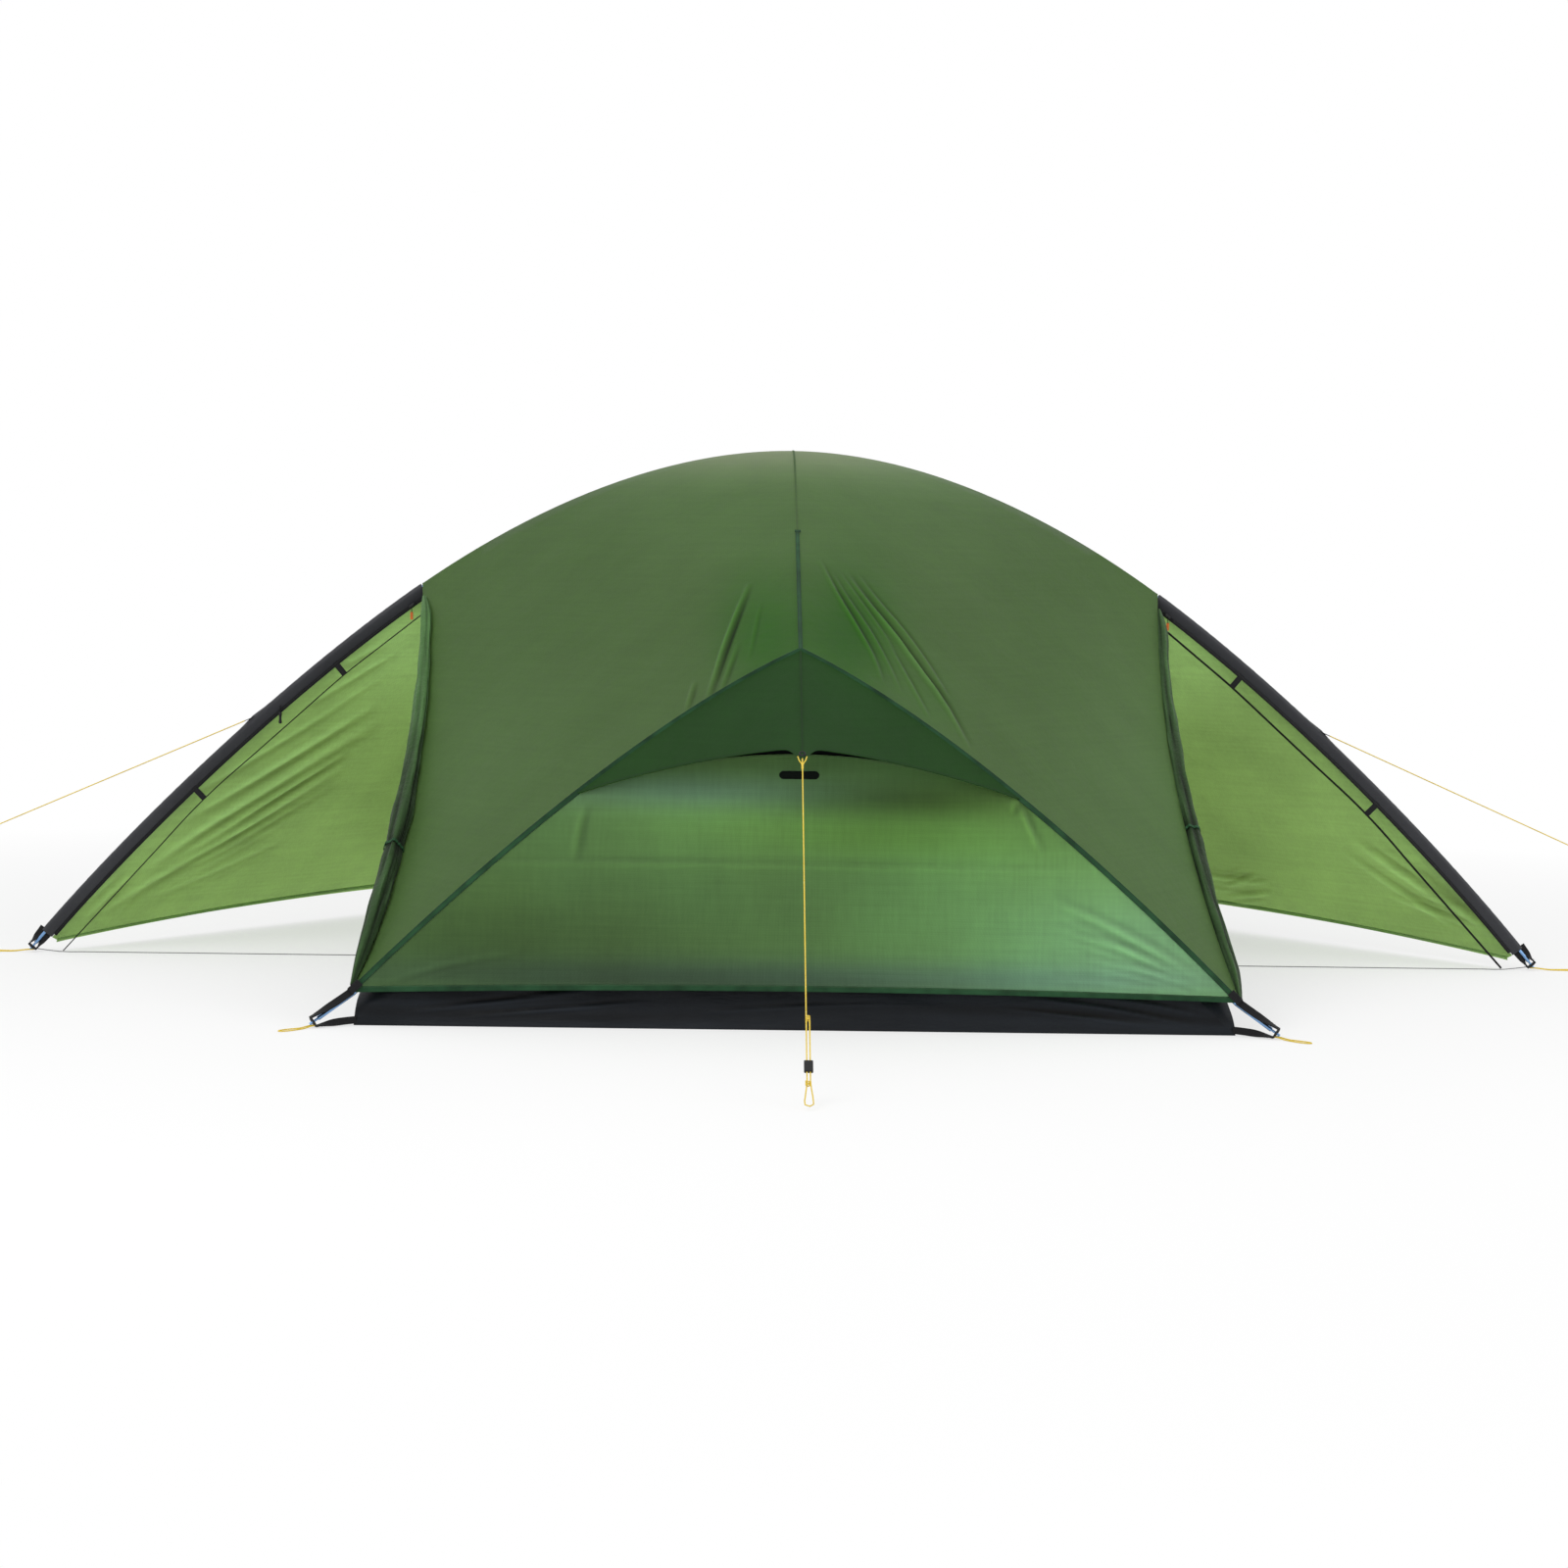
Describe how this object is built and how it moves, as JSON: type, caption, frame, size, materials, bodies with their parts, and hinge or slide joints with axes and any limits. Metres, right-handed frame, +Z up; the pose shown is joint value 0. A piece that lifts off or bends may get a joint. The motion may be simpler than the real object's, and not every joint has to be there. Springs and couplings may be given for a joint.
{
  "type": "camping tent",
  "caption": "Dome tent with a long ridge arch over two side porches, front porch halves rolled up, hooded end vents, a black tub floor and an inner tent with hinged, zipped doors.",
  "frame": {"origin": "on the ground under the middle of the floor", "axes": "+X along the ridge arch to the right porch, -Y to the front end with the guyline, +Z up"},
  "size_m": [3.8682, 3.2978, 1.1984],
  "materials": {
    "fly_green": "coated ripstop, slight sheen",
    "hood_green": "coated ripstop, dark",
    "rolled_green": "coated ripstop, rolled",
    "sleeve_black": "coarse woven",
    "floor_black": "heavy coated",
    "inner_cloth": "thin breathable",
    "door_mesh": "fine mesh",
    "pole_blue": "anodised",
    "hub_grey": "moulded",
    "webbing_black": "woven webbing",
    "cord_yellow": "braided",
    "cord_grey": "braided",
    "cord_black": "braided",
    "plastic_black": "moulded",
    "pull_orange": "woven tape"
  },
  "bodies": {
    "tent": {"roof_panel_front_left": "fly_green", "roof_panel_front_right": "fly_green", "roof_panel_rear_left": "fly_green", "roof_panel_rear_right": "fly_green", "end_wall_front": "fly_green", "end_wall_rear": "fly_green", "porch_panel_left": "fly_green", "porch_panel_right": "fly_green", "vent_hood_front": "hood_green", "vent_hood_rear": "hood_green", "rolled_door_left": "rolled_green", "rolled_door_right": "rolled_green", "arch_sleeve_left": "sleeve_black", "arch_sleeve_right": "sleeve_black", "ridge_pole_1": "pole_blue", "ridge_pole_2": "pole_blue", "ridge_pole_3": "pole_blue", "ridge_pole_4": "pole_blue", "ridge_pole_5": "pole_blue", "spine_pole_front": "pole_blue", "spine_pole_rear": "pole_blue", "leg_pole_front_left": "pole_blue", "leg_pole_front_right": "pole_blue", "leg_pole_rear_left": "pole_blue", "leg_pole_rear_right": "pole_blue", "pole_hub_front": "hub_grey", "pole_hub_rear": "hub_grey", "tub_floor": "floor_black", "inner_roof": "inner_cloth", "inner_end_wall_front": "inner_cloth", "inner_end_wall_rear": "inner_cloth", "inner_side_wall_left": "inner_cloth", "inner_side_wall_right": "inner_cloth", "corner_strap_front_left": "webbing_black", "corner_strap_front_right": "webbing_black", "corner_strap_rear_left": "webbing_black", "corner_strap_rear_right": "webbing_black", "foot_strap_left": "webbing_black", "foot_strap_right": "webbing_black", "hood_guyline": "cord_yellow", "ridge_guyline_left": "cord_yellow", "ridge_guyline_right": "cord_yellow", "corner_loop_left": "cord_yellow", "corner_loop_right": "cord_yellow", "foot_loop_left": "cord_yellow", "foot_loop_right": "cord_yellow", "base_cord_left": "cord_grey", "base_cord_right": "cord_grey", "porch_cord_left": "cord_black", "porch_cord_right": "cord_black", "vent_stiffener_front": "plastic_black", "vent_stiffener_rear": "plastic_black"},
    "left_door": {"inner_door_left": "door_mesh"},
    "right_door": {"inner_door_right": "door_mesh"},
    "left_door_slider": {"door_zip_left": "plastic_black"},
    "right_door_slider": {"door_zip_right": "plastic_black"},
    "left_porch_slider": {"fly_zip_left": "pull_orange"},
    "right_porch_slider": {"fly_zip_right": "pull_orange"},
    "tensioner": {"guyline_tensioner": "plastic_black"},
    "toggle": {"door_toggle": "plastic_black"}
  },
  "joints": [
    {"name": "left_door_swing", "type": "hinge", "parent": "tent", "child": "left_door", "pos_m": [-0.8483, -0.0564, 0.37366], "axis": [-0.0845, 0, -0.9964], "range_deg": [0, 80]},
    {"name": "right_door_swing", "type": "hinge", "parent": "tent", "child": "right_door", "pos_m": [0.8483, -0.0564, 0.37366], "axis": [-0.0845, 0, 0.9964], "range_deg": [0, 80]},
    {"name": "left_door_zip", "type": "slide", "parent": "left_door", "child": "left_door_slider", "axis": [0.051, 0.7976, 0.601], "range_m": [0, 0.56]},
    {"name": "right_door_zip", "type": "slide", "parent": "right_door", "child": "right_door_slider", "axis": [-0.051, 0.7976, 0.601], "range_m": [0, 0.56]},
    {"name": "left_porch_zip", "type": "slide", "parent": "tent", "child": "left_porch_slider", "axis": [-0.7852, 0, -0.6192], "range_m": [0, 0.25]},
    {"name": "right_porch_zip", "type": "slide", "parent": "tent", "child": "right_porch_slider", "axis": [0.7852, 0, -0.6192], "range_m": [0, 0.25]},
    {"name": "tensioner_slide", "type": "slide", "parent": "tent", "child": "tensioner", "axis": [0, 0.7852, 0.6192], "range_m": [-0.018, 0.09]},
    {"name": "toggle_swing", "type": "hinge", "parent": "tent", "child": "toggle", "pos_m": [-1.18985, -0.0095, 0.58606], "axis": [0, 1, 0], "range_deg": [-35, 35]}
  ]
}
